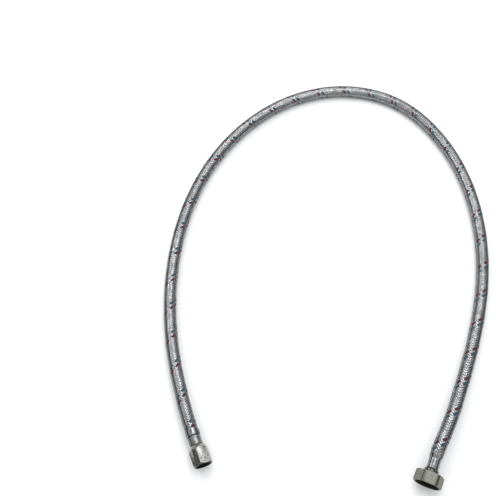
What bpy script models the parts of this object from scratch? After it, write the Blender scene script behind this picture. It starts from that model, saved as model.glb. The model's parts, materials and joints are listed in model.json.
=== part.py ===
"""A braided stainless supply line, 40 inches long, lying flat in a loose arch.

One end has a 3/8 inch compression swivel nut and the other a 1/2 inch FIP (G1/2) swivel nut. Between them
run a rubber inner tube and its wire braid, crimped onto a barbed stem at each end by a ferrule.
Run with: blender --background --python part.py
Sizes are in millimetres, and MM turns them into Blender's metres. The ground is z = 0.
"""

import math

import bmesh
import bpy
import numpy as np
from mathutils import Matrix, Vector

MM = 0.001

# The hose. Wall gaps are between the flat sides of the tubes.
BRAID_RADIUS = 6.0
BRAID_WALL = 0.5
TUBE_WALL = 0.95
TUBE_GAP = 0.22
HOSE_SIDES = 12
HOSE_BEVEL_RESOLUTION = 4  # gives the 12 sides
POINT_SPACING = 2 * 2 * BRAID_RADIUS

# The route of the hose's centre from the mouth of the compression ferrule to the mouth of the FIP ferrule.
# It comes down from each ferrule to lie on the ground. The larger nut rests on the lower front edge of its
# hexagon, with its open end tipped down by its droop.
COMPRESSION_AXIS_HEIGHT = 9.3
FIP_MOUTH_HEIGHT = 13.03
ROUTE = [
    (-129, -166, COMPRESSION_AXIS_HEIGHT),
    (-138, -137.5, 8.3),
    (-145.5, -108, 7.2),
    (-153.5, -49, 6.1),
    (-151.5, 10, 6.0),
    (-139, 67.5, 6.0),
    (-114, 122.5, 6.0),
    (-76.5, 169, 6.0),
    (-26.5, 202, 6.0),
    (30, 213, 6.0),
    (85.5, 196, 6.0),
    (125, 152.5, 6.0),
    (147.5, 96.5, 6.0),
    (154.5, 37, 6.0),
    (149, -22, 6.0),
    (133.5, -79, 6.4),
    (111.2, -135.3, 9.3),
    (98.5, -162.5, 11.8),
    (84.7, -189.1, FIP_MOUTH_HEIGHT),
]
COMPRESSION_HEADING = -69.5  # degrees from +X that each nut's open end points
FIP_HEADING = -113.5
COMPRESSION_DROOP = 0.0  # degrees below level that it points
FIP_DROOP = 4.0

# Both fittings are drawn along their own Z axis: the nut's open end is at z = 0 and the hose is below it.
ROUND_STEPS = 48
INNER_STEPS = 32

# Compression end, for a 9/16-24 UNEF male thread.
COMPRESSION_NUT_FLATS = 15.9
COMPRESSION_NUT_LENGTH = 18.0
COMPRESSION_THREAD_BORE = 6.85  # radius between the thread's crest and root
COMPRESSION_CORNER_TURN = 9.0  # degrees from upright to the nearest corner of the hexagon
COMPRESSION_FERRULE_FRONT = -18.4
COMPRESSION_FERRULE_MOUTH = -33.4
COMPRESSION_HOSE_START = -19.5

# FIP end, for a G1/2 male thread.
FIP_NUT_FLATS = 22.2
FIP_HEX_LENGTH = 10.3
FIP_NUT_LENGTH = 13.8
FIP_THREAD_BORE = 10.2
FIP_FERRULE_FRONT = -14.2
FIP_FERRULE_MOUTH = -27.3
FIP_HOSE_START = -15.2

# How the crimped ends of the hose neck down inside the ferrules: (z in the fitting's frame, braid radius).
COMPRESSION_NECK = [
    (COMPRESSION_HOSE_START, 5.3),
    (-28.6, 5.3),
    (-30.6, 5.9),
    (COMPRESSION_FERRULE_MOUTH, 5.95),
]
FIP_NECK = [(FIP_HOSE_START, 4.6), (-24.1, 4.6), (FIP_FERRULE_MOUTH, 5.4)]
NECK_RELEASE = 3.0  # length outside a ferrule in which the braid swells back to its full radius


def clear_scene():
    for obj in list(bpy.data.objects):
        bpy.data.objects.remove(obj, do_unlink=True)


def new_collection(name):
    made = bpy.data.collections.new(name)
    bpy.context.scene.collection.children.link(made)
    return made


def material(name, colour, roughness, metallic):
    made = bpy.data.materials.new(name)
    made.use_nodes = True
    shader = made.node_tree.nodes["Principled BSDF"]
    shader.inputs["Base Color"].default_value = (*colour, 1.0)
    shader.inputs["Roughness"].default_value = roughness
    shader.inputs["Metallic"].default_value = metallic
    return made


def add_object(name, data, collection, look=None, parent=None):
    obj = bpy.data.objects.new(name, data)
    collection.objects.link(obj)
    if look is not None:
        data.materials.append(look)
    obj.parent = parent
    return obj


def as_cutter(obj):
    obj.hide_render = True
    obj.display_type = "WIRE"
    return obj


def turned(name, profile, steps, collection, look=None, parent=None):
    """A solid of revolution about Z. The profile is (radius, z) points that run down the outer side. One
    whose first and last points are off the axis is closed up the bore, as a ring."""
    ring = profile[0][0] > 0
    mesh = bpy.data.meshes.new(name)
    points = [(radius * MM, 0, z * MM) for radius, z in profile]
    edges = [(i, i + 1) for i in range(len(points) - 1)]
    if ring:
        edges.append((len(points) - 1, 0))
    mesh.from_pydata(points, edges, [])
    obj = add_object(name, mesh, collection, look, parent)
    screw = obj.modifiers.new("Turn", "SCREW")
    screw.axis = "Z"
    screw.angle = 2 * math.pi
    screw.steps = screw.render_steps = steps
    screw.use_merge_vertices = True
    screw.merge_threshold = 0.00001
    screw.use_smooth_shade = True
    return obj


def boolean(obj, other, operation):
    modifier = obj.modifiers.new(f"{operation.title()} {other.name}", "BOOLEAN")
    modifier.operation = operation
    modifier.object = other
    modifier.solver = "EXACT"


def hex_bar(name, flats, top, bottom, flat_angle, collection, look, parent):
    """A hexagonal bar between two heights, with the normal of one flat at flat_angle degrees from X."""
    mesh = bpy.data.meshes.new(name)
    bm = bmesh.new()
    corner_radius = flats / 2 / math.cos(math.radians(30)) * MM
    depth = (top - bottom) * MM
    bmesh.ops.create_cone(
        bm, cap_ends=True, segments=6, radius1=corner_radius, radius2=corner_radius, depth=depth
    )
    bmesh.ops.translate(bm, vec=(0, 0, (top + bottom) / 2 * MM), verts=bm.verts)
    first = bm.verts[:][0].co
    turn = math.radians(flat_angle + 30) - math.atan2(first.y, first.x)
    bmesh.ops.rotate(bm, cent=(0, 0, 0), matrix=Matrix.Rotation(turn, 3, "Z"), verts=bm.verts)
    bm.to_mesh(mesh)
    bm.free()
    return add_object(name, mesh, collection, look, parent)


def swivel_nut(name, flats, flat_angle, envelope, bore, fitting, look):
    """A hexagon nut: a bar cut to its turned envelope, which gives the chamfers and shoulder, then bored."""
    frame, cutters = fitting["frame"], fitting["cutters"]
    top, bottom = envelope[0][1], envelope[-1][1]
    nut = hex_bar(name, flats, top + 1, bottom - 1, flat_angle, fitting["parts"], look, frame)
    outside = as_cutter(turned(f"{name}_envelope", envelope, ROUND_STEPS, cutters, parent=frame))
    inside = as_cutter(turned(f"{name}_bore", bore, ROUND_STEPS, cutters, parent=frame))
    boolean(nut, outside, "INTERSECT")
    boolean(nut, inside, "DIFFERENCE")


def turned_piece(name, profile, steps, fitting, look):
    turned(name, profile, steps, fitting["parts"], look, fitting["frame"])


def barbs(crest, root, first, last, count):
    """The sawtooth outer side of a barbed spigot, down from first to last: each barb ramps out towards the
    fitting, so that the hose slides on and doesn't pull off."""
    pitch = (first - last) / count
    points = []
    for i in range(count):
        top = first - i * pitch
        points += [(root, top), (crest, top - 0.15 * pitch), (root + 0.02, top - 0.95 * pitch)]
    return points


def smooth_curve(points, start_direction, end_direction, spacing):
    """Points about spacing apart on the clamped cubic spline through the given points."""
    points = np.array(points, float)
    steps = np.linalg.norm(np.diff(points, axis=0), axis=1)
    knots = np.concatenate([[0], np.cumsum(steps)])
    count = len(points)
    system = np.zeros((count, count))
    known = np.zeros((count, 3))
    system[0, 0] = system[-1, -1] = 1
    known[0], known[-1] = start_direction, end_direction
    for i in range(1, count - 1):
        before, after = steps[i - 1], steps[i]
        system[i, i - 1 : i + 2] = after, 2 * (before + after), before
        step_in, step_out = points[i] - points[i - 1], points[i + 1] - points[i]
        known[i] = 3 * (after * step_in / before + before * step_out / after)
    slopes = np.linalg.solve(system, known)
    found = []
    for at in np.linspace(0, knots[-1], round(knots[-1] / spacing) + 1):
        i = min(int(np.searchsorted(knots, at, side="right")) - 1, count - 2)
        h = steps[i]
        t = (at - knots[i]) / h
        found.append(
            (1 + 2 * t) * (1 - t) ** 2 * points[i]
            + t * (1 - t) ** 2 * h * slopes[i]
            + t * t * (3 - 2 * t) * points[i + 1]
            + t * t * (t - 1) * h * slopes[i + 1]
        )
    return np.array(found)


def direction(heading, droop):
    turn, tip = math.radians(heading), math.radians(droop)
    return np.array([math.cos(turn) * math.cos(tip), math.sin(turn) * math.cos(tip), -math.sin(tip)])


def fitting_frame(name, mouth_point, mouth_z, heading, droop, parts, cutters):
    """An empty at the nut's open end, with its Z along the fitting, out of the nut, and its X upright."""
    axis = direction(heading, droop)
    centre = np.array(mouth_point, float) - mouth_z * axis
    frame = bpy.data.objects.new(name, None)
    parts.objects.link(frame)
    out = Vector(axis)
    side = out.cross(Vector((0, 0, 1))).normalized()
    turn = Matrix((side.cross(out), side, out)).transposed()
    frame.matrix_world = Matrix.Translation(Vector(centre) * MM) @ turn.to_4x4()
    return {"frame": frame, "axis": axis, "centre": centre, "parts": parts, "cutters": cutters}


def hose_line(compression, fip):
    """The hose's centreline and the braid's radius at each point of it, from the compression end."""
    start = [(compression["centre"] + z * compression["axis"], radius) for z, radius in COMPRESSION_NECK]
    end = [(fip["centre"] + z * fip["axis"], radius) for z, radius in reversed(FIP_NECK)]
    middle = smooth_curve(ROUTE, -compression["axis"], fip["axis"], POINT_SPACING)
    fine = smooth_curve(ROUTE, -compression["axis"], fip["axis"], NECK_RELEASE)
    line = start + [(fine[1], BRAID_RADIUS)]
    line += [(point, BRAID_RADIUS) for point in middle[1:-1]]
    line += [(fine[-2], BRAID_RADIUS)] + end
    return line


def hose_layer(name, line, inset, wall, collection, look):
    """One hollow layer of the hose: a bevelled curve that is inset from the braid's outside, with a wall."""
    curve = bpy.data.curves.new(name, "CURVE")
    curve.dimensions = "3D"
    curve.bevel_depth = BRAID_RADIUS * MM
    curve.bevel_resolution = HOSE_BEVEL_RESOLUTION
    curve.use_fill_caps = False
    spline = curve.splines.new("POLY")
    spline.points.add(len(line) - 1)
    for target, (point, radius) in zip(spline.points, line):
        target.co = (*(point * MM), 1)
        target.radius = (radius - inset) / BRAID_RADIUS
    obj = add_object(name, curve, collection, look)
    solid = obj.modifiers.new("Wall", "SOLIDIFY")
    solid.thickness = wall * MM
    solid.offset = -1
    solid.use_even_offset = True
    solid.use_rim = True
    return obj


def add_hose(line, parts):
    corner = 1 / math.cos(math.pi / HOSE_SIDES)
    tube_inset = (BRAID_WALL + TUBE_GAP) * corner
    steel = material("woven_steel", (0.62, 0.62, 0.63), 0.35, 0.9)
    rubber = material("inner_rubber", (0.05, 0.05, 0.055), 0.7, 0.0)
    hose_layer("braid_sleeve", line, 0, BRAID_WALL, parts, steel)
    hose_layer("inner_tube", line, tube_inset, TUBE_WALL, parts, rubber)


def add_compression_end(fitting, looks):
    bore = COMPRESSION_THREAD_BORE
    swivel_nut(
        "compression_nut",
        COMPRESSION_NUT_FLATS,
        COMPRESSION_CORNER_TURN + 30,
        [(0, 0), (7.85, 0), (9.3, -1.7), (9.3, -12.9), (8.3, -14.9), (7.3, -16.2),
         (6.4, -COMPRESSION_NUT_LENGTH), (0, -COMPRESSION_NUT_LENGTH)],
        [(0, 1), (bore + 0.45, 1), (bore + 0.45, 0), (bore, -0.5), (bore, -10.8), (6.45, -11.2),
         (6.45, -15.0), (4.5, -15.0), (4.5, -19), (0, -19)],
        fitting,
        looks["bright_nickel"],
    )
    turned_piece(
        "compression_thrust_ring",
        [(6.15, -14.1), (6.15, -14.9), (4.3, -14.9), (4.3, -14.1)],
        INNER_STEPS, fitting, looks["acetal"],
    )
    turned_piece(
        "compression_stem",
        [(3.7, -9.2), (4.0, -9.5), (4.0, -11.6), (5.9, -11.6), (6.1, -11.8), (6.1, -12.8), (4.0, -12.8),
         (4.0, -19.2)]
        + barbs(3.3, 3.0, -19.2, -30.4, 4)
        + [(2.8, -31.4), (2.3, -31.4), (2.3, -9.2)],
        INNER_STEPS, fitting, looks["brass"],
    )
    turned_piece(
        "compression_cone_seal",
        [(4.5, -7.8), (6.1, -9.7), (6.1, -11.5), (4.2, -11.5), (4.2, -9.0), (3.0, -9.0), (3.0, -7.8)],
        INNER_STEPS, fitting, looks["black_rubber"],
    )
    front, mouth = COMPRESSION_FERRULE_FRONT, COMPRESSION_FERRULE_MOUTH
    turned_piece(
        "compression_ferrule",
        [(5.6, front), (6.05, front - 0.4), (6.05, -26.5), (5.85, -26.8), (5.85, -27.1), (6.45, -27.4),
         (6.55, -27.7), (6.55, mouth + 0.4), (6.4, mouth), (6.2, mouth), (6.2, -28.8), (5.55, -28.1),
         (5.55, front - 0.6), (4.4, front - 0.6), (4.4, front)],
        ROUND_STEPS, fitting, looks["polished_steel"],
    )


def add_fip_end(fitting, looks):
    bore = FIP_THREAD_BORE
    hexagon_back, nut_back = -FIP_HEX_LENGTH, -FIP_NUT_LENGTH
    swivel_nut(
        "fip_nut",
        FIP_NUT_FLATS,
        0,
        [(0, 0), (11.2, 0), (13.0, -1.0), (13.0, hexagon_back + 0.8), (11.4, hexagon_back),
         (6.35, hexagon_back), (6.35, nut_back + 0.5), (5.85, nut_back), (0, nut_back)],
        [(0, 1), (bore + 0.35, 1), (bore + 0.35, 0), (bore, -0.5), (bore, -7.6), (9.3, -7.9),
         (9.3, -9.0), (4.8, -9.0), (4.8, -15), (0, -15)],
        fitting,
        looks["satin_nickel"],
    )
    turned_piece(
        "fip_thrust_ring",
        [(8.9, -8.1), (8.9, -8.9), (4.6, -8.9), (4.6, -8.1)],
        INNER_STEPS, fitting, looks["acetal"],
    )
    turned_piece(
        "fip_stem",
        [(4.1, -4.8), (4.3, -5.0), (4.3, -6.1), (8.4, -6.1), (8.6, -6.3), (8.6, -7.5), (4.2, -7.5),
         (4.2, -14.9)]
        + barbs(2.6, 2.4, -14.9, -24.8, 5)
        + [(2.25, -25.6), (1.95, -25.6), (1.95, -4.8)],
        INNER_STEPS, fitting, looks["brass"],
    )
    turned_piece(
        "fip_gasket",
        [(9.0, -3.7), (9.0, -6.0), (4.6, -6.0), (4.6, -3.7)],
        INNER_STEPS, fitting, looks["black_rubber"],
    )
    front, mouth = FIP_FERRULE_FRONT, FIP_FERRULE_MOUTH
    turned_piece(
        "fip_ferrule",
        [(4.8, front), (5.2, front - 0.4), (5.2, -23.5), (5.35, -24.1), (5.95, -26.3), (6.1, mouth + 0.3),
         (6.1, mouth), (5.75, mouth), (4.8, -23.9), (4.8, front - 0.5), (4.5, front - 0.5), (4.5, front)],
        ROUND_STEPS, fitting, looks["polished_steel"],
    )


def main():
    clear_scene()
    parts = new_collection("braided_supply_line")
    cutters = new_collection("cutters")
    looks = {
        "bright_nickel": material("bright_nickel", (0.72, 0.71, 0.67), 0.25, 1.0),
        "satin_nickel": material("satin_nickel", (0.55, 0.55, 0.48), 0.42, 1.0),
        "polished_steel": material("polished_steel", (0.75, 0.75, 0.76), 0.15, 1.0),
        "brass": material("brass", (0.75, 0.6, 0.32), 0.3, 1.0),
        "acetal": material("acetal", (0.85, 0.85, 0.82), 0.5, 0.0),
        "black_rubber": material("black_rubber", (0.03, 0.03, 0.03), 0.75, 0.0),
    }
    compression = fitting_frame(
        "compression_end", ROUTE[0], COMPRESSION_FERRULE_MOUTH, COMPRESSION_HEADING, COMPRESSION_DROOP,
        parts, cutters,
    )
    fip = fitting_frame("fip_end", ROUTE[-1], FIP_FERRULE_MOUTH, FIP_HEADING, FIP_DROOP, parts, cutters)
    add_compression_end(compression, looks)
    add_fip_end(fip, looks)
    add_hose(hose_line(compression, fip), parts)


main()
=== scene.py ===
"""The looks of the braided supply line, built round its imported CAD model.

The hose is a rubber tube under 24 woven carriers of wire, two of the right-hand ones red and blue. A fitting
is crimped on at each end: a ferrule, a stem, a seal and a swivel nut with a real thread inside.
Lengths are in millimetres, and MM turns them into Blender's metres. Angles are in degrees.
"""

import json
import math

import bmesh
import bpy
import numpy as np
from mathutils import Matrix, Vector


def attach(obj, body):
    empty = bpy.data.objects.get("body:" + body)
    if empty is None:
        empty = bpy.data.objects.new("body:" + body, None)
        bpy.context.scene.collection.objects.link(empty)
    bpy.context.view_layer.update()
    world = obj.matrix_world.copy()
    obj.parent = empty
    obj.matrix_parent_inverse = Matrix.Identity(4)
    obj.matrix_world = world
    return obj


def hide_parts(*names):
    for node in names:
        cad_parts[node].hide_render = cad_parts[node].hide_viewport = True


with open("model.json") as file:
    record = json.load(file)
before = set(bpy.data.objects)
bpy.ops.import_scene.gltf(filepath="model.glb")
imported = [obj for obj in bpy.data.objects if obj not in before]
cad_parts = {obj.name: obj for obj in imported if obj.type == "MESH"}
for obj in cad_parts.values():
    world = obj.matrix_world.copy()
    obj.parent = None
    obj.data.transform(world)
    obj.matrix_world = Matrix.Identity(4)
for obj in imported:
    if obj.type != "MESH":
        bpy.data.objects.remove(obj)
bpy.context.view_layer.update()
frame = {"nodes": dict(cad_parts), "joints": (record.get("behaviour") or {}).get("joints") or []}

MM = 0.001
INCH = 25.4

# The hose's centre from the mouth of the compression ferrule to the mouth of the FIP ferrule, as in the CAD.
ROUTE = np.array([
    (-0.129, -0.166, 0.0093),
    (-0.138, -0.1375, 0.0083),
    (-0.1455, -0.108, 0.0072),
    (-0.1535, -0.049, 0.0061),
    (-0.1515, 0.010, 0.006),
    (-0.139, 0.0675, 0.006),
    (-0.114, 0.1225, 0.006),
    (-0.0765, 0.169, 0.006),
    (-0.0265, 0.202, 0.006),
    (0.030, 0.213, 0.006),
    (0.0855, 0.196, 0.006),
    (0.125, 0.1525, 0.006),
    (0.1475, 0.0965, 0.006),
    (0.1545, 0.037, 0.006),
    (0.149, -0.022, 0.006),
    (0.1335, -0.079, 0.0064),
    (0.1112, -0.1353, 0.0093),
    (0.0985, -0.1625, 0.0118),
    (0.0847, -0.1891, 0.01303),
]) / MM

# Where the hose starts inside each ferrule, and the ferrule's mouth, both from the nut's open end.
COMPRESSION_HOSE_START, COMPRESSION_MOUTH = -19.5, -33.4
FIP_HOSE_START, FIP_MOUTH = -15.2, -27.3
HOSE_RADIUS = 6.0
# (distance from the ferrule's mouth into it, the braid's radius there)
COMPRESSION_NECK = [(-3.0, 6.0), (0.0, 5.95), (2.8, 5.9), (4.8, 5.3), (13.9, 5.3)]
FIP_NECK = [(-3.0, 6.0), (0.0, 5.4), (3.2, 4.6), (12.1, 4.6)]

# The braid. Each carrier lays a ribbon of parallel wires, over two and under two of the opposite ones.
CARRIERS_EACH_WAY = 12
WIRES = 6
WIRE = 0.25
RIBBON_WIDTH = WIRES * WIRE
WEAVE_DEPTH = 0.16  # how far a ribbon rises and dips from the middle of the braid
BRAID_MIDDLE = HOSE_RADIUS - WEAVE_DEPTH - WIRE / 2
# The braid's lay, the length of one turn of a carrier, is shorter round the tight bend.
LAY_AT = [0, 470, 520, 600, 690, 760, 820, 954]
LAY = [29.44, 29.44, 27.2, 28.3, 28.8, 30.4, 31.2, 31.2]
BLUE_AT_TOP = 4.6  # distance along the hose of the first place where the blue tracer is uppermost
# How far the columns of the weave are turned round the hose.
TWIST_AT = [0, 200, 480, 954]
TWIST = [12.5, 12.5, 37.5, 37.5]
BLUE_CARRIER, RED_CARRIER = 0, 2
STEEL_PIECES_EACH_WAY = 4
# A coloured ribbon is this many times as wide as a wire one, stands this much prouder and stays up longer.
TRACER_WIDTH = 1.3
TRACER_RISE = 0.1
TRACER_FLOAT = 0.15
TUBE_RADIUS = 5.42
TUBE_BORE = 4.3

CAMERA_PLACE = (-0.0784, -0.3421, 0.6954)  # in metres
CAMERA_TILT = 27.5
CAMERA_LENS = 56.5


# ---------------------------------------------------------------- curves and frames


def smooth_curve(points, start_direction, end_direction, spacing):
    """Points about spacing apart on the clamped cubic spline through the given points."""
    steps = np.linalg.norm(np.diff(points, axis=0), axis=1)
    knots = np.concatenate([[0], np.cumsum(steps)])
    count = len(points)
    system = np.zeros((count, count))
    known = np.zeros((count, 3))
    system[0, 0] = system[-1, -1] = 1
    known[0], known[-1] = start_direction, end_direction
    for i in range(1, count - 1):
        before, after = steps[i - 1], steps[i]
        system[i, i - 1 : i + 2] = after, 2 * (before + after), before
        step_in, step_out = points[i] - points[i - 1], points[i + 1] - points[i]
        known[i] = 3 * (after * step_in / before + before * step_out / after)
    slopes = np.linalg.solve(system, known)
    at = np.linspace(0, knots[-1], round(knots[-1] / spacing) + 1)
    i = np.clip(np.searchsorted(knots, at, side="right") - 1, 0, count - 2)
    h = steps[i][:, None]
    t = (at - knots[i])[:, None] / h
    return (
        (1 + 2 * t) * (1 - t) ** 2 * points[i]
        + t * (1 - t) ** 2 * h * slopes[i]
        + t * t * (3 - 2 * t) * points[i + 1]
        + t * t * (t - 1) * h * slopes[i + 1]
    )


def unit(vectors):
    return vectors / np.linalg.norm(vectors, axis=-1, keepdims=True)


def columns_at(at, known_at, values):
    return np.stack([np.interp(at, known_at, values[:, k]) for k in range(values.shape[1])], -1)


class Fitting:
    """The place of one end: its origin at the nut's open end, Z out of the nut and X upright."""

    def __init__(self, joint_name):
        joint = next(j for j in frame["joints"] if j["name"] == joint_name)
        self.axis = unit(np.array(joint["axis"], float))
        self.centre = np.array(joint["pos_m"], float) / MM
        out = Vector(self.axis)
        side = out.cross(Vector((0, 0, 1))).normalized()
        turn = Matrix((side.cross(out), side, out)).transposed()
        self.matrix = Matrix.Translation(Vector(self.centre) * MM) @ turn.to_4x4()

    def point(self, z):
        return self.centre + z * self.axis


class Hose:
    """The hose's centreline, with 0 at the compression ferrule's mouth, and the directions across it."""

    SPACING = 0.5
    # How many points the straight run inside each ferrule has.
    COMPRESSION_POINTS, FIP_POINTS = 28, 21

    def __init__(self, compression, fip):
        middle = smooth_curve(ROUTE, -compression.axis, fip.axis, self.SPACING)
        start = compression.point(COMPRESSION_HOSE_START)
        end = fip.point(FIP_HOSE_START)
        self.line = np.vstack([
            np.linspace(start, middle[0], self.COMPRESSION_POINTS)[:-1],
            middle,
            np.linspace(middle[-1], end, self.FIP_POINTS)[1:],
        ])
        along = np.concatenate([[0], np.cumsum(np.linalg.norm(np.diff(self.line, axis=0), axis=1))])
        self.first = COMPRESSION_MOUTH - COMPRESSION_HOSE_START
        self.at = along + self.first
        self.last = self.at[-1]
        self.length = self.last - (FIP_HOSE_START - FIP_MOUTH)
        self.tangent = unit(np.gradient(self.line, self.at, axis=0))
        upright = np.array([0.0, 0.0, 1.0])
        self.up = unit(upright - (self.tangent @ upright)[:, None] * self.tangent)
        self.side = np.cross(self.tangent, self.up)
        neck = [(-z, r) for z, r in reversed(COMPRESSION_NECK)] + [(self.length + z, r) for z, r in FIP_NECK]
        self.neck_at, self.neck_radius = zip(*neck)

    def swell(self, at):
        """The braid's radius at a distance along the hose, as a share of its full radius."""
        return np.interp(at, self.neck_at, self.neck_radius) / HOSE_RADIUS

    def surface(self, at, turn, radius):
        """Points in millimetres at a distance along the hose, an angle in radians from the top, and a radius
        from the centreline of a hose that isn't necked in."""
        r = (radius * self.swell(at))[..., None]
        flat = at.ravel()
        centre, up, side = (
            columns_at(flat, self.at, values).reshape(*at.shape, 3)
            for values in (self.line, self.up, self.side)
        )
        return centre + r * (np.cos(turn)[..., None] * unit(up) + np.sin(turn)[..., None] * unit(side))


# ---------------------------------------------------------------- meshes

# How finely a nut is divided: steps round each corner and across each flat, and rows in a turn of thread.
CORNER_STEPS, FLAT_STEPS = 6, 6
THREAD_ROWS_PER_TURN = 10


def grid_faces(rows, columns, close_rows):
    """Quads of a grid of points whose columns go all the way round. close_rows joins the last row to the
    first too."""
    i, j = np.meshgrid(np.arange(rows if close_rows else rows - 1), np.arange(columns), indexing="ij")
    k, m = (i + 1) % rows, (j + 1) % columns
    return np.stack([i * columns + j, i * columns + m, k * columns + m, k * columns + j], -1).reshape(-1, 4)


def mesh_from(name, points, quads, caps=()):
    """A mesh from an array of points in metres, an array of quads and a list of end polygons."""
    mesh = bpy.data.meshes.new(name)
    loops = np.concatenate([quads.ravel(), *[np.array(cap) for cap in caps]]).astype(np.int32)
    sizes = np.concatenate([np.full(len(quads), 4), [len(cap) for cap in caps]]).astype(np.int32)
    mesh.vertices.add(len(points))
    mesh.vertices.foreach_set("co", points.astype(np.float32).ravel())
    mesh.loops.add(len(loops))
    mesh.loops.foreach_set("vertex_index", loops)
    mesh.polygons.add(len(sizes))
    mesh.polygons.foreach_set("loop_start", np.concatenate([[0], np.cumsum(sizes)[:-1]]).astype(np.int32))
    mesh.polygons.foreach_set("loop_total", sizes)
    mesh.update(calc_edges=True)
    mesh.polygons.foreach_set("use_smooth", np.full(len(sizes), True))
    return mesh


def point_value(mesh, name, values):
    attribute = mesh.attributes.new(name, "FLOAT", "POINT")
    attribute.data.foreach_set("value", values.astype(np.float32).ravel())


def add_piece(name, mesh, look, body, matrix=None):
    obj = bpy.data.objects.new(name, mesh)
    bpy.context.scene.collection.objects.link(obj)
    mesh.materials.append(look)
    if matrix is not None:
        obj.matrix_world = matrix
    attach(obj, body)
    return obj


def tidy_solid(mesh, sharp_degrees):
    """Merges points that coincide, turns the faces outwards and keeps edges over an angle sharp."""
    bm = bmesh.new()
    bm.from_mesh(mesh)
    bmesh.ops.remove_doubles(bm, verts=bm.verts, dist=1e-6)
    bmesh.ops.recalc_face_normals(bm, faces=bm.faces)
    bm.to_mesh(mesh)
    bm.free()
    mesh.set_sharp_from_angle(angle=math.radians(sharp_degrees))


def loft_round(name, turn, rows, values, sharp_degrees):
    """A ring-shaped solid about Z. Each row is an array of radii and one of z, for the columns at the angles
    in turn. values names what the materials read at each point."""
    points = np.concatenate([np.stack([r * np.cos(turn), r * np.sin(turn), z], -1) for r, z in rows]) * MM
    mesh = mesh_from(name, points, grid_faces(len(rows), len(turn), close_rows=True))
    for value_name, numbers in values.items():
        point_value(mesh, value_name, numbers)
    tidy_solid(mesh, sharp_degrees)
    return mesh


def softened(profile, radius):
    """A closed (radius, z) profile with each corner rounded by an arc of about the given radius."""
    made = []
    count = len(profile)
    for i in range(count):
        before, here, after = (np.array(profile[(i + k) % count], float) for k in (-1, 0, 1))
        reach_in = min(radius, 0.45 * np.linalg.norm(before - here))
        reach_out = min(radius, 0.45 * np.linalg.norm(after - here))
        a, b = here + unit(before - here) * reach_in, here + unit(after - here) * reach_out
        for t in (0, 0.5, 1):
            made.append((1 - t) ** 2 * a + 2 * t * (1 - t) * here + t * t * b)
    return made


def turned_mesh(name, profile, columns=96, edge=0.12, shape=None, shaded_groove=(0, 0)):
    """A turned ring from a closed (radius, z) profile. shape changes a row's radii, given the columns' angles
    and the row's radius and z. The last argument is the range of z of a groove whose rows are darkened as
    painted shade."""
    turn = np.linspace(0, 2 * math.pi, columns, endpoint=False)
    rows, groove_shade = [], []
    for r, z in softened(profile, edge):
        radii = np.full(columns, r)
        rows.append((radii if shape is None else shape(turn, radii, z), np.full(columns, z)))
        # Painted shade: rows in the groove are marked as inside, and so are darkened.
        groove_shade.append(shaded_groove[0] < z < shaded_groove[1])
    return loft_round(name, turn, rows, {"inside": np.repeat(groove_shade, columns)}, sharp_degrees=35)


def hexagon(flats, corner, flat_angle):
    """Arrays of the radius and the angle round a hexagon with rounded corners, and of which points are on a
    corner. One flat's normal is at flat_angle."""
    reach = (flats / 2 - corner) / math.cos(math.radians(30))
    points = []
    for k in range(6):
        middle = math.radians(flat_angle + 30 + 60 * k)
        centre = reach * np.array([math.cos(middle), math.sin(middle)])
        for turn in np.radians(np.linspace(-30, 30, CORNER_STEPS + 1)) + middle:
            points.append(centre + corner * np.array([math.cos(turn), math.sin(turn)]))
        end = points[-1]
        following = math.radians(flat_angle + 90 + 60 * k)
        start = reach * np.array([math.cos(following), math.sin(following)])
        turn = following - math.radians(30)
        start = start + corner * np.array([math.cos(turn), math.sin(turn)])
        for t in np.linspace(0, 1, FLAT_STEPS + 1)[1:-1]:
            points.append(end + t * (start - end))
    points = np.array(points)
    on_corner = np.arange(len(points)) % (CORNER_STEPS + FLAT_STEPS) <= CORNER_STEPS
    return np.hypot(points[:, 0], points[:, 1]), np.arctan2(points[:, 1], points[:, 0]), on_corner


def nut_mesh(name, flats, corner, flat_angle, envelope, bore, thread, shaded_smooth_corners, shaded_rim):
    """A hexagon nut with scalloped chamfers. envelope is the turned outline that cuts the hexagon, as
    (radius, z) from the front face to the back; bore runs the other way, from the back to the front. The
    bore's rows past its rear edge, the thread and the front rows up to the given rim row are darkened as
    painted shade; when asked, so are the corners and the boss, which may also be smoother."""
    radius, turn, on_corner = hexagon(flats, corner, flat_angle)
    env_r = np.array([p[0] for p in envelope], float)
    env_z = np.array([p[1] for p in envelope], float)
    widest = int(env_r.argmax())
    rows = []
    for k in range(widest):  # up the front chamfer to the flats
        rows.append(clipped(radius, env_r[k], env_r[: widest + 1], env_z[: widest + 1]))
    rows.append(clipped(radius, math.inf, env_r[: widest + 1], env_z[: widest + 1]))
    rows.append(clipped(radius, math.inf, env_r[widest + 1 :], env_z[widest + 1 :]))
    for k in range(widest + 2, len(envelope)):
        rows.append(clipped(radius, env_r[k], env_r[widest + 1 :], env_z[widest + 1 :]))
    outer_rows = len(rows)
    for r, z in bore:
        rows.append((np.full(len(radius), float(r)), np.full(len(radius), float(z))))
    rows += thread_rows(turn, **thread)
    row = np.arange(len(rows))
    # Painted shade: the bore past its rear edge, the thread and the front rim rows are darkened.
    inside = np.repeat((row >= outer_rows + 2) | (row <= shaded_rim), len(radius))
    on_boss = np.repeat((row >= outer_rows - 1) & (row < outer_rows + 2), len(radius))
    # Painted shade: where asked, the corners and the boss are darkened.
    corner_points = (np.tile(on_corner, len(rows)) | on_boss) & ~inside & shaded_smooth_corners
    return loft_round(name, turn, rows, {"inside": inside, "corner": corner_points}, sharp_degrees=30)


def clipped(radius, limit, cone_r, cone_z):
    """A row of a nut: the hexagon's radius or the limit, whichever is less, and the envelope's z there."""
    r = np.minimum(radius, limit)
    order = np.argsort(cone_r, kind="stable")
    return r, np.interp(r, cone_r[order], cone_z[order])


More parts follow.
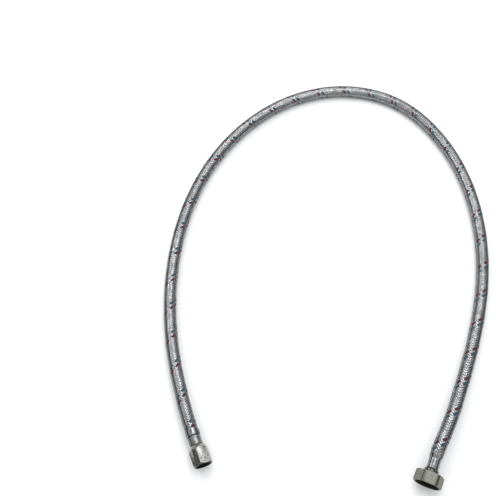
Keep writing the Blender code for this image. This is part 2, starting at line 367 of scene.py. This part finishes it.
def thread_rows(turn, root, crest, pitch, deep, front):
    """The rows of a right-hand female thread, from its deep end to its front end. It fades out over a pitch
    at the deep end and over half a pitch at the front."""
    count = round((front - deep) / pitch * THREAD_ROWS_PER_TURN)
    rows = []
    for z in np.linspace(deep, front, count + 1):
        phase = (z / pitch - turn / (2 * math.pi)) % 1
        wave = np.clip(1.5 * np.abs(2 * phase - 1) - 0.25, 0, 1)
        strength = min(1.0, (z - deep) / pitch, (front - z) / (0.5 * pitch))
        rows.append((root - (root - crest) * wave * max(strength, 0), np.full(len(turn), z)))
    return rows


# ---------------------------------------------------------------- materials


class Nodes:
    """Adds nodes to a shader's tree. A socket takes a number, a vector or another node's output."""

    def __init__(self, tree):
        self.nodes, self.links = tree.nodes, tree.links

    def set(self, node, socket, value):
        if isinstance(value, bpy.types.NodeSocket):
            self.links.new(value, node.inputs[socket])
        else:
            node.inputs[socket].default_value = value

    def add(self, kind, properties=(), **inputs):
        node = self.nodes.new(f"ShaderNode{kind}")
        for key, value in dict(properties).items():
            setattr(node, key, value)
        for socket, value in inputs.items():
            self.set(node, int(socket[1:]) if socket[1:].isdigit() else socket.replace("_", " "), value)
        return node

    def value(self, name):
        return self.add("Attribute", {"attribute_name": name}).outputs["Fac"]

    def place(self):
        return self.add("TexCoord").outputs["Object"]

    def scaled(self, vector, scale):
        return self.add("Mapping", Vector=vector, Scale=scale).outputs["Vector"]

    def noise(self, vector, scale, detail=3.0, roughness=0.5):
        node = self.add("TexNoise", Vector=vector, Scale=scale, Detail=detail, Roughness=roughness)
        return node.outputs["Fac"]

    def ramp(self, fac, low, high, to_low=0.0, to_high=1.0, shape="LINEAR"):
        node = self.add("MapRange", {"interpolation_type": shape}, Value=fac,
                        From_Min=low, From_Max=high, To_Min=to_low, To_Max=to_high)
        return node.outputs["Result"]

    def math(self, operation, a, b=0.0):
        return self.add("Math", {"operation": operation}, _0=a, _1=b).outputs["Value"]

    def mix(self, fac, a, b):
        node = self.add("Mix", {"data_type": "RGBA"}, _0=fac)
        for socket, colour in ((6, a), (7, b)):
            self.set(node, socket, colour if isinstance(colour, bpy.types.NodeSocket) else (*colour, 1))
        return node.outputs[2]


class Look(Nodes):
    """A Principled material."""

    def __init__(self, name, colour, roughness, metallic=0.0):
        self.material = bpy.data.materials.new(name)
        self.material.use_nodes = True
        super().__init__(self.material.node_tree)
        self.shader = self.nodes["Principled BSDF"]
        self.paint((*colour, 1), roughness)
        self.set(self.shader, "Metallic", metallic)

    def paint(self, colour, roughness):
        self.set(self.shader, "Base Color", colour)
        self.set(self.shader, "Roughness", roughness)

    def bump(self, height, strength, distance):
        node = self.add("Bump", Height=height, Strength=strength, Distance=distance)
        self.set(self.shader, "Normal", node.outputs["Normal"])


def wire_look():
    """Bright stainless wire, dull where it dips under and polished where it stands out, with painted shade
    where it dips under and in the grooves between its wires.
    """
    look = Look("woven_steel_wire", (0.72, 0.72, 0.73), 0.3, 1.0)
    place = look.place()
    lift = look.value("lift")
    gap = look.value("gap")
    patches = look.noise(place, 230.0, 2.0)
    streaks = look.noise(place, 900.0, 2.0)
    worn = look.mix(look.ramp(patches, 0.42, 0.6), (0.58, 0.58, 0.585), (0.35, 0.355, 0.36))
    tone = look.mix(look.ramp(streaks, 0.4, 0.62), worn, (0.26, 0.26, 0.265))
    # Painted shade: dark lines in the grooves between the wires.
    tone = look.mix(look.ramp(gap, 0.6, 1.0), tone, (0.06, 0.06, 0.062))
    # Painted shade: the ribbon darkens where it dips under the opposite carriers.
    tone = look.mix(look.ramp(lift, -0.8, 0.7), (0.04, 0.04, 0.042), tone)
    rough = look.math("ADD", look.ramp(lift, -1, 1, 0.45, 0.18), look.ramp(streaks, 0.3, 0.7, 0.0, 0.1))
    look.paint(tone, rough)
    return look.material


def tracer_look(name, colour, pale):
    """A dyed nylon strand, with the fine streaks of its filaments, and painted shade where it dips under and
    between its strands.
    """
    look = Look(name, colour, 0.42)
    look.set(look.shader, "Specular IOR Level", 0.3)
    place = look.place()
    filaments = look.noise(place, 2400.0, 3.0)
    patches = look.noise(place, 90.0, 2.0)
    # The colour of the painted shade.
    dark = tuple(0.45 * c for c in colour)
    tone = look.mix(look.ramp(filaments, 0.35, 0.65), colour, pale)
    # Painted shade in the grooves between the strands.
    tone = look.mix(look.ramp(look.value("gap"), 0.6, 1.0), tone, dark)
    # Painted shade where the strand dips under the opposite carriers.
    tone = look.mix(look.ramp(look.value("lift"), -0.8, 0.6), dark, tone)
    look.paint(tone, look.ramp(patches, 0.3, 0.7, 0.34, 0.5))
    look.bump(filaments, 0.3, 0.00003)
    return look.material


def rubber_look(name, colour, bloom):
    """Matt black rubber with a paler bloom in patches."""
    look = Look(name, colour, 0.7)
    place = look.place()
    patches = look.noise(place, 120.0, 4.0)
    grain = look.noise(place, 2600.0, 3.0)
    tone = look.mix(look.ramp(patches, 0.4, 0.75), colour, bloom)
    look.paint(tone, look.ramp(grain, 0.3, 0.7, 0.6, 0.8))
    look.bump(grain, 0.25, 0.00004)
    return look.material


# The scales of a metal's marks on the fitting's X, Y and Z: short along its axis where it was turned, and
# long along it where it was drawn.
TURNED = (60, 60, 9000)
DRAWN = (5000, 5000, 300)


def metal_look(name, colour, shade, roughness, marks_scale, mottle=300.0, corner_roughness=None):
    """Plated or polished metal, with patches of its shade. The inside, a nut's front rim and a ferrule's
    groove are darkened as painted shade, and a nut's corners and boss may be darkened as painted shade and
    made smoother than its flats."""
    look = Look(name, colour, roughness, 1.0)
    place = look.place()
    marks = look.noise(look.scaled(place, marks_scale), 1.0, 4.0, 0.6)
    patches = look.noise(place, mottle, 3.0)
    specks = look.noise(place, 3000.0, 2.0)
    tone = look.mix(look.ramp(patches, 0.44, 0.6), colour, shade)
    tone = look.mix(look.ramp(marks, 0.5, 0.8, 0.0, 0.5), tone, shade)
    # Painted shade: a nut's marked corners and boss are darker.
    tone = look.mix(look.value("corner"), tone, tuple(0.4 * c for c in shade))
    # Painted shade: the inside, a nut's front rim and a ferrule's groove are near black.
    tone = look.mix(look.value("inside"), tone, (0.035, 0.034, 0.03))
    rough = look.math("ADD", look.ramp(marks, 0.3, 0.7, roughness - 0.05, roughness + 0.07),
                      look.ramp(specks, 0.45, 0.75, 0.0, 0.06))
    if corner_roughness is not None:
        smoother = look.math("MULTIPLY", look.value("corner"), corner_roughness - roughness)
        rough = look.math("ADD", rough, smoother)
    look.paint(tone, rough)
    look.bump(look.math("ADD", marks, look.math("MULTIPLY", specks, 0.4)), 0.15, 0.00002)
    return look.material


def plastic_look(name, colour):
    """Smooth moulded plastic, a little clouded."""
    look = Look(name, colour, 0.45)
    place = look.place()
    cloud = look.noise(place, 200.0, 3.0)
    grain = look.noise(place, 2200.0, 2.0)
    shade = tuple(0.85 * c for c in colour)
    tone = look.mix(look.ramp(cloud, 0.4, 0.7), colour, shade)
    look.paint(tone, look.ramp(grain, 0.3, 0.7, 0.38, 0.52))
    look.bump(grain, 0.2, 0.00003)
    return look.material


# ---------------------------------------------------------------- the hose


class Braid:
    """Where the carriers run. A right-hand carrier turns with the lay and a left-hand one against it."""

    SPACING = 0.25
    # Distances from each rise or dip, in crossings, at which a ribbon gets a row of points.
    ROWS_AT = (-0.36, -0.12, 0.12, 0.36, 1.0)
    MARGIN = 0.01  # the least distance of such a row from the braid's ends
    STEEPNESS = 3  # of a ribbon's rises and dips

    def __init__(self, hose):
        self.hose = hose
        self.at = np.arange(hose.first, hose.last, self.SPACING)
        turns = np.concatenate([[0], np.cumsum(self.SPACING / np.interp(self.at[1:], LAY_AT, LAY))])
        turns -= np.interp(BLUE_AT_TOP, self.at, turns)
        twist = np.interp(self.at, TWIST_AT, TWIST) / 360
        self.turns = {1: turns, -1: 2 * twist - turns}

    def turn(self, at, hand, number):
        """The angle in turns of a carrier's middle at a distance along the hose."""
        return np.interp(at, self.at, self.turns[hand]) + number / CARRIERS_EACH_WAY

    def crossing(self, at, turn, hand, number):
        """Which opposite carriers a point of a ribbon lies over, counted so that 0 and 1 of every 4 are where
        the right-hand ribbon is on top."""
        opposite = (turn - np.interp(at, self.at, self.turns[-hand])) * CARRIERS_EACH_WAY
        return number + opposite

    def ribbon(self, hand, number):
        """The points of one carrier's ribbon of wires, the quads, its caps, and each point's lift and gap."""
        hose, at = self.hose, self.at
        count = self.crossing(at, self.turn(at, hand, number), hand, number)
        rising = count if hand > 0 else -count
        first = math.floor(rising[0] / 2) * 2 - 0.5
        rows = (np.arange(first, rising[-1], 2)[:, None] + np.array(self.ROWS_AT)).ravel()
        rows = rows[(rows > rising[0] + self.MARGIN) & (rows < rising[-1] - self.MARGIN)]
        middle = np.concatenate([[at[0]], np.interp(rows, rising, at), [at[-1]]])
        across, height, gap = ribbon_section()
        longer = 0.0
        if hand > 0 and number in (BLUE_CARRIER, RED_CARRIER):
            across, height, longer = across * TRACER_WIDTH, height + TRACER_RISE, TRACER_FLOAT
        slope = np.arctan2(2 * math.pi * BRAID_MIDDLE, np.interp(middle, LAY_AT, LAY))[:, None]
        point_at = middle[:, None] - across * np.sin(slope)
        point_turn = self.turn(middle, hand, number)[:, None]
        point_turn = point_turn + hand * across * np.cos(slope) / (2 * math.pi * BRAID_MIDDLE)
        point_at = np.clip(point_at, at[0], at[-1])
        weave = self.crossing(point_at, point_turn, hand, number)
        wave = hand * np.cos(math.pi * (weave - 0.5) / 2)
        lift = np.tanh(self.STEEPNESS * (wave + longer)) / math.tanh(self.STEEPNESS)
        radius = BRAID_MIDDLE + WEAVE_DEPTH * lift + height
        points = hose.surface(point_at, 2 * math.pi * point_turn, radius)
        row_count, columns = points.shape[:2]
        quads = grid_faces(row_count, columns, close_rows=False)
        caps = [np.arange(columns)[::-1], np.arange(columns) + (row_count - 1) * columns]
        if hand < 0:
            quads, caps = quads[:, ::-1], [cap[::-1] for cap in caps]
        return points.reshape(-1, 3) * MM, quads, caps, lift.ravel(), np.tile(gap, row_count)

    def ribbons(self, name, hand, numbers, look):
        """One piece of several carriers' ribbons."""
        points, quads, caps, lifts, gaps, start = [], [], [], [], [], 0
        for number in numbers:
            its_points, its_quads, its_caps, its_lift, its_gap = self.ribbon(hand, number)
            points.append(its_points)
            quads.append(its_quads + start)
            caps += [cap + start for cap in its_caps]
            lifts.append(its_lift)
            gaps.append(its_gap)
            start += len(its_points)
        mesh = mesh_from(name, np.concatenate(points), np.concatenate(quads), caps)
        point_value(mesh, "lift", np.concatenate(lifts))
        point_value(mesh, "gap", np.concatenate(gaps))
        piece = add_piece(name, mesh, look, "hose")
        return piece


def ribbon_section():
    """The distance across, the height and the gap of each point of a ribbon's outline: wires side by side on
    top, and flat below. The gap is 0 on top of a wire and 1 between two."""
    edge = RIBBON_WIDTH / 2
    below, inset, valley = -0.11, 0.06, 0.02
    outline = [(-edge, 0.0, 1.0)]
    for k in range(WIRES):
        centre = (k + 0.5) * WIRE - edge
        outline.append((centre, WIRE / 2, 0.0))
        outline.append((centre + WIRE / 2, valley if k < WIRES - 1 else 0.0, 1.0))
    outline += [(edge - inset, below, 1.0), (inset - edge, below, 1.0)]
    return np.array(outline).T


def make_tube(hose, look):
    """The rubber inner tube, whose centreline is the route."""
    rows, columns, short_by = 480, 24, 0.5
    at = np.linspace(hose.first + short_by, hose.last - short_by, rows)
    turn = np.linspace(0, 2 * math.pi, columns, endpoint=False)
    grid_at, grid_turn = np.meshgrid(at, turn, indexing="ij")
    outer = hose.surface(grid_at, grid_turn, np.full(grid_at.shape, TUBE_RADIUS))
    inner = hose.surface(grid_at, grid_turn, np.full(grid_at.shape, TUBE_BORE))[::-1]
    points = np.concatenate([outer, inner]).reshape(-1, 3) * MM
    mesh = mesh_from("inner_hose", points, grid_faces(2 * rows, columns, close_rows=True))
    tidy_solid(mesh, sharp_degrees=60)
    tube = add_piece("inner_hose", mesh, look, "hose")
    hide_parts("inner_tube", "braid_sleeve")
    return tube, columns_at(at, hose.at, hose.line) * MM


# ---------------------------------------------------------------- the fittings


def fitting_piece(name, mesh, look, fitting, body, slot, *nodes):
    piece = add_piece(name, mesh, look, body, fitting.matrix)
    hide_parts(*nodes)
    return piece


def barbs(crest, root, first, last, count):
    """The (radius, z) profile of barbs along a stem: each rises steeply and falls away slowly."""
    pitch = (first - last) / count
    points = []
    for i in range(count):
        top = first - i * pitch
        points += [(root, top), (crest, top - 0.15 * pitch), (root + 0.02, top - 0.95 * pitch)]
    return points


def crimped(turn, radii, z):
    """The sleeve of the compression ferrule, pressed by dies that leave a faint ridge between them."""
    dies, start, end = 8, -18.6, -26.7
    if not end < z < start:
        return radii
    from_ridge = np.abs((turn / (2 * math.pi) * dies + 0.35) % 1 - 0.5)
    ridge = 0.11 * np.exp(-((from_ridge / 0.05) ** 2))
    hollow = 0.06 + 0.05 * np.cos(2 * math.pi * from_ridge) ** 2
    return radii + ridge - hollow


def make_compression_end(fitting, looks):
    """The small end: nut, crimped ferrule, barbed stem and cone seal."""
    nut = nut_mesh(
        "compression_nut_body",
        flats=15.9,
        corner=0.5,
        flat_angle=39,
        envelope=[(7.2, 0), (7.85, -0.15), (9.3, -1.8), (9.3, -12.9), (8.3, -14.9), (7.3, -16.2),
                  (6.55, -17.75), (6.25, -18.0)],
        bore=[(4.75, -18.0), (4.5, -17.75), (4.5, -15.0), (6.45, -15.0), (6.45, -11.2), (6.95, -10.9)],
        thread={"root": 7.15, "crest": 6.62, "pitch": INCH / 24, "deep": -10.7, "front": -0.45},
        shaded_smooth_corners=False,
        shaded_rim=1,
    )
    fitting_piece("compression_nut_body", nut, looks["bright_nickel"], fitting, "compression_nut",
                  "bright_nickel", "compression_nut")
    ferrule = turned_mesh(
        "compression_ferrule_body",
        [(5.6, -18.4), (6.05, -18.8), (6.05, -20.5), (6.05, -23), (6.05, -25.0), (6.05, -26.3), (5.8, -26.6),
         (5.8, -27.1), (6.45, -27.4), (6.55, -27.7), (6.55, -33.0), (6.4, -33.4), (6.2, -33.4), (6.2, -28.8),
         (5.55, -28.1), (5.55, -19.0), (4.4, -19.0), (4.4, -18.4)],
        columns=192,
        shape=crimped,
        # Painted shade in the groove between the lip and the sleeve.
        shaded_groove=(-27.3, -26.4),
    )
    fitting_piece("compression_ferrule_body", ferrule, looks["polished_steel"], fitting, "hose",
                  "polished_steel", "compression_ferrule")
    stem = turned_mesh(
        "compression_stem_body",
        [(3.7, -9.2), (4.0, -9.5), (4.0, -11.6), (5.9, -11.6), (6.1, -11.8), (6.1, -12.8), (4.0, -12.8),
         (4.0, -19.2)] + barbs(3.3, 3.0, -19.2, -30.4, 4) + [(2.8, -31.4), (2.3, -31.4), (2.3, -9.2)],
        edge=0.08,
    )
    fitting_piece("compression_stem_body", stem, looks["brass"], fitting, "hose", "brass", "compression_stem")
    seal = turned_mesh(
        "compression_seal_body",
        [(4.5, -7.8), (6.1, -9.7), (6.1, -11.5), (4.2, -11.5), (4.2, -9.0), (3.0, -9.0), (3.0, -7.8)],
        edge=0.25,
    )
    fitting_piece("compression_seal_body", seal, looks["black_rubber"], fitting, "hose", "black_rubber",
                  "compression_cone_seal")


def make_fip_end(fitting, looks):
    """The large end, on the far end of the hose: nut, tapered ferrule, barbed stem and gasket."""
    nut = nut_mesh(
        "fip_nut_body",
        flats=22.2,
        corner=2.4,
        flat_angle=0,
        envelope=[(11.0, 0), (11.25, -0.12), (13.0, -1.0), (13.0, -9.5), (11.4, -10.25), (11.2, -10.3),
                  (6.35, -10.3)],
        bore=[(6.35, -13.3), (5.85, -13.8), (4.95, -13.8), (4.8, -13.6), (4.8, -9.0), (9.3, -9.0),
              (9.3, -8.1), (10.3, -7.7)],
        thread={"root": 10.5, "crest": 9.75, "pitch": INCH / 14, "deep": -7.5, "front": -0.5},
        # The rolled nut's corners and boss get painted shade and a smoother finish.
        shaded_smooth_corners=True,
        shaded_rim=0,
    )
    made = [fitting_piece("fip_nut_body", nut, looks["satin_nickel"], fitting, "fip_nut", "satin_nickel",
                          "fip_nut")]
    ferrule = turned_mesh(
        "fip_ferrule_body",
        [(4.8, -14.2), (5.2, -14.6), (5.2, -19.0), (5.2, -23.5), (5.35, -24.1), (5.95, -26.3), (6.1, -27.0),
         (6.1, -27.3), (5.75, -27.3), (4.8, -23.9), (4.8, -14.7), (4.5, -14.7), (4.5, -14.2)],
        columns=128,
    )
    made.append(fitting_piece("fip_ferrule_body", ferrule, looks["polished_steel"], fitting, "hose",
                              "polished_steel", "fip_ferrule"))
    stem = turned_mesh(
        "fip_stem_body",
        [(4.1, -4.8), (4.3, -5.0), (4.3, -6.1), (8.4, -6.1), (8.6, -6.3), (8.6, -7.5), (4.2, -7.5),
         (4.2, -14.9)] + barbs(2.6, 2.4, -14.9, -24.8, 5) + [(2.25, -25.6), (1.95, -25.6), (1.95, -4.8)],
        edge=0.08,
    )
    made.append(fitting_piece("fip_stem_body", stem, looks["brass"], fitting, "hose", "brass", "fip_stem"))
    gasket = turned_mesh("fip_gasket_body", [(9.0, -3.7), (9.0, -6.0), (4.6, -6.0), (4.6, -3.7)], edge=0.3)
    made.append(fitting_piece("fip_gasket_body", gasket, looks["black_rubber"], fitting, "hose",
                              "black_rubber", "fip_gasket"))
    return made


# ---------------------------------------------------------------- the studio


def make_floor():
    """A pale floor just under the lowest point, so that no face of the part lies in it."""
    mesh = bpy.data.meshes.new("floor")
    bm = bmesh.new()
    bmesh.ops.create_grid(bm, x_segments=1, y_segments=1, size=3.0)
    bm.to_mesh(mesh)
    bm.free()
    floor = bpy.data.objects.new("floor", mesh)
    floor.location.z = -0.00015
    bpy.context.scene.collection.objects.link(floor)
    look = Look("pale_floor", (0.9, 0.9, 0.9), 0.9)
    mesh.materials.append(look.material)


def make_lights():
    """A soft dome overhead, dark towards the horizon at both sides, a wide key light over the arch with a
    brighter core, and softboxes at the left and behind."""
    world = bpy.data.worlds.new("studio")
    world.use_nodes = True
    sky = Nodes(world.node_tree)
    direction = sky.add("SeparateXYZ", Vector=sky.add("TexCoord").outputs["Generated"])
    height, back = direction.outputs["Z"], direction.outputs["Y"]
    dome = sky.ramp(height, 0.25, 0.6, 0.02, 0.95, "SMOOTHSTEP")
    behind = sky.ramp(back, 0.3, 1.0, 0.0, 0.5)
    before = sky.ramp(back, -0.15, -0.8, 0.0, 0.4)
    background = sky.nodes["Background"]
    sky.set(background, "Color", (0.97, 0.99, 1.0, 1))
    sky.set(background, "Strength", sky.math("ADD", sky.math("ADD", dome, behind), before))
    bpy.context.scene.world = world
    softbox("key_softbox", (0.12, 0.25, 1.0), (0.12, 0.25, 0), 0.8, 0.9, 2.6)
    softbox("left_softbox", (-1.0, 0.65, 0.95), (-0.1, 0.1, 0.0), 0.7, 0.6, 3.7)
    softbox("key_core", (0.06, 0.12, 0.99), (0.06, 0.12, 0.0), 0.16, 0.45, 0.95)
    softbox("back_softbox", (-0.05, 1.2, 1.1), (0, 0.1, 0), 0.9, 0.5, 4)


def softbox(name, place, target, width, depth, watts):
    """A rectangular area light at a place, aimed at a target, both in metres."""
    data = bpy.data.lights.new(name, "AREA")
    data.shape = "RECTANGLE"
    data.size, data.size_y = width, depth
    data.energy = watts
    lamp = bpy.data.objects.new(name, data)
    bpy.context.scene.collection.objects.link(lamp)
    lamp.location = place
    lamp.rotation_euler = (Vector(target) - Vector(place)).to_track_quat("-Z", "Y").to_euler()


def make_camera():
    data = bpy.data.cameras.new("camera")
    data.lens = CAMERA_LENS
    data.clip_start, data.clip_end = 0.01, 20
    camera = bpy.data.objects.new("camera", data)
    bpy.context.scene.collection.objects.link(camera)
    camera.location = CAMERA_PLACE
    camera.rotation_euler = (math.radians(CAMERA_TILT), 0, 0)
    bpy.context.scene.camera = camera
    bpy.context.scene.view_settings.view_transform = "Standard"


def main():
    looks = {
        "wire": wire_look(),
        "red": tracer_look("red_tracer", (0.050, 0.003, 0.011), (0.100, 0.011, 0.024)),
        "blue": tracer_look("blue_tracer", (0.006, 0.050, 0.08), (0.018, 0.105, 0.145)),
        "inner_rubber": rubber_look("inner_rubber", (0.02, 0.02, 0.022), (0.05, 0.05, 0.052)),
        "black_rubber": rubber_look("black_rubber", (0.012, 0.012, 0.012), (0.03, 0.03, 0.03)),
        "bright_nickel": metal_look("bright_nickel", (0.44, 0.44, 0.415), (0.22, 0.22, 0.19), 0.24, TURNED,
                                    mottle=900.0),
        "satin_nickel": metal_look("satin_nickel", (0.29, 0.29, 0.25), (0.22, 0.22, 0.185), 0.58, TURNED,
                                   mottle=700.0, corner_roughness=0.2),
        "polished_steel": metal_look("polished_steel", (0.25, 0.25, 0.255), (0.15, 0.15, 0.155), 0.12,
                                     DRAWN),
        "brass": metal_look("turned_brass", (0.72, 0.53, 0.23), (0.5, 0.33, 0.12), 0.28, TURNED),
        "acetal": plastic_look("acetal", (0.82, 0.82, 0.79)),
    }
    compression, fip = Fitting("compression_nut_spin"), Fitting("fip_nut_spin")
    hose = Hose(compression, fip)
    tube, tube_line = make_tube(hose, looks["inner_rubber"])
    braid = Braid(hose)
    steel_right = [n for n in range(CARRIERS_EACH_WAY) if n not in (BLUE_CARRIER, RED_CARRIER)]
    pieces = [
        braid.ribbons("red_tracer", 1, [RED_CARRIER], looks["red"]),
        braid.ribbons("blue_tracer", 1, [BLUE_CARRIER], looks["blue"]),
    ]
    steel_left = list(range(CARRIERS_EACH_WAY))
    for hand, word, numbers in ((1, "right", steel_right), (-1, "left", steel_left)):
        for k, group in enumerate(np.array_split(numbers, STEEL_PIECES_EACH_WAY)):
            pieces.append(braid.ribbons(f"braid_{word}_{k + 1}", hand, group, looks["wire"]))
    make_compression_end(compression, looks)
    pieces += make_fip_end(fip, looks)
    for node in ("compression_thrust_ring", "fip_thrust_ring"):
        ring = frame["nodes"][node]
        ring.material_slots[0].material = looks["acetal"]
    compression.point(COMPRESSION_MOUTH) * MM
    make_floor()
    make_lights()
    make_camera()


main()
